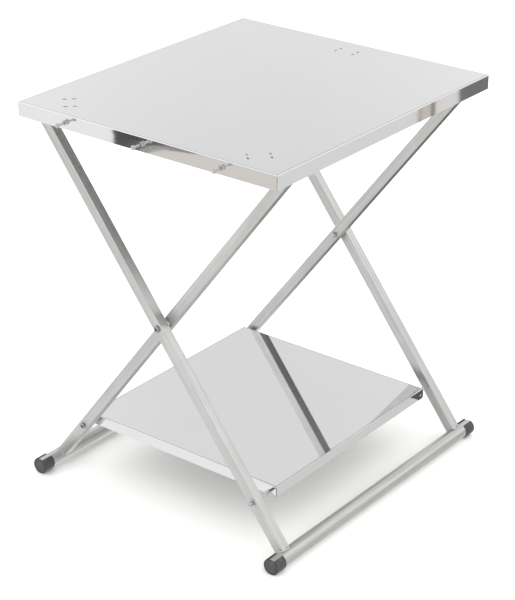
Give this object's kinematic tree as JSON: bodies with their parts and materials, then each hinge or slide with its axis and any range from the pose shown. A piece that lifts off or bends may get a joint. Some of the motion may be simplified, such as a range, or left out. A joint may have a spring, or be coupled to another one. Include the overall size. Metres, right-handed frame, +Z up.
{
  "type": "folding side table",
  "caption": "Folding side table with a pressed steel tray top, scissor legs on round foot bars with capped ends, utensil pegs and a lift-up lower shelf.",
  "frame": {"origin": "on the floor, at the centre of the bounding box", "axes": "+Z up; -Y is the front edge with the utensil pegs; +X is the side where the shelf is hinged"},
  "size_m": [0.56, 0.6306, 0.71],
  "materials": {
    "polished_steel": "mirror-polished stainless steel sheet",
    "satin_aluminium": "satin anodised",
    "chrome": "bright plated",
    "zinc": "blue zinc plated",
    "galvanised_steel": "plain galvanised",
    "black_plastic": "matte black",
    "white_nylon": "natural white"
  },
  "bodies": {
    "outer_frame": {"outer_leg_front": "satin_aluminium", "outer_leg_rear": "satin_aluminium", "foot_bar_right": "satin_aluminium", "foot_cap_right_front": "black_plastic", "foot_cap_right_rear": "black_plastic", "outer_leg_plug_front": "black_plastic", "outer_leg_plug_rear": "black_plastic", "outer_frame_brace": "satin_aluminium", "pivot_bolt_front": "chrome", "pivot_bolt_rear": "chrome", "pivot_spacer_front": "white_nylon", "pivot_spacer_rear": "white_nylon", "pivot_nut_front": "chrome", "pivot_nut_rear": "chrome", "tray_hinge_bolt_front": "zinc", "tray_hinge_bolt_rear": "zinc", "tray_hinge_spacer_front": "white_nylon", "tray_hinge_spacer_rear": "white_nylon", "tray_hinge_nut_front": "zinc", "tray_hinge_nut_rear": "zinc", "shelf_hinge_rod": "zinc", "shelf_rod_washer_front": "zinc", "shelf_rod_washer_rear": "zinc", "shelf_rod_dome_nut_front": "chrome", "shelf_rod_dome_nut_rear": "chrome", "shelf_rod_locknut_front": "zinc", "shelf_rod_locknut_rear": "zinc"},
    "inner_frame": {"inner_leg_front": "satin_aluminium", "inner_leg_rear": "satin_aluminium", "foot_bar_left": "satin_aluminium", "foot_cap_left_front": "black_plastic", "foot_cap_left_rear": "black_plastic", "inner_leg_plug_front": "black_plastic", "inner_leg_plug_rear": "black_plastic", "slide_rod": "zinc", "slide_bush_front": "white_nylon", "slide_bush_rear": "white_nylon", "slide_rod_clip_front": "galvanised_steel", "slide_rod_clip_rear": "galvanised_steel", "shelf_rest_bolt_front": "chrome", "shelf_rest_bolt_rear": "chrome", "shelf_rest_washer_front": "zinc", "shelf_rest_washer_rear": "zinc", "shelf_rest_nut_front": "zinc", "shelf_rest_nut_rear": "zinc"},
    "top": {"tabletop_tray": "polished_steel", "guide_rail_front": "galvanised_steel", "guide_rail_rear": "galvanised_steel", "peg_stud_left": "chrome", "peg_collar_left": "chrome", "peg_nut_left": "zinc", "peg_stud_middle": "chrome", "peg_collar_middle": "chrome", "peg_nut_middle": "zinc", "peg_stud_right": "chrome", "peg_collar_right": "chrome", "peg_nut_right": "zinc"},
    "shelf": {"shelf_tray": "polished_steel"}
  },
  "joints": [
    {"name": "leg_fold", "type": "hinge", "parent": "outer_frame", "child": "inner_frame", "pos_m": [0, 0.01025, 0.361], "axis": [0, -1, 0], "range_deg": [0, 70]},
    {"name": "tray_tilt", "type": "hinge", "parent": "outer_frame", "child": "top", "pos_m": [-0.25504, 0.01025, 0.694], "axis": [0, -1, 0], "range_deg": [0, 36]},
    {"name": "shelf_lift", "type": "hinge", "parent": "outer_frame", "child": "shelf", "pos_m": [0.20067, 0.01025, 0.099], "axis": [0, 1, 0], "range_deg": [0, 49]}
  ],
  "couplings": [
    {"joint": "tray_tilt", "follows": "leg_fold", "ratio": 0.5}
  ]
}
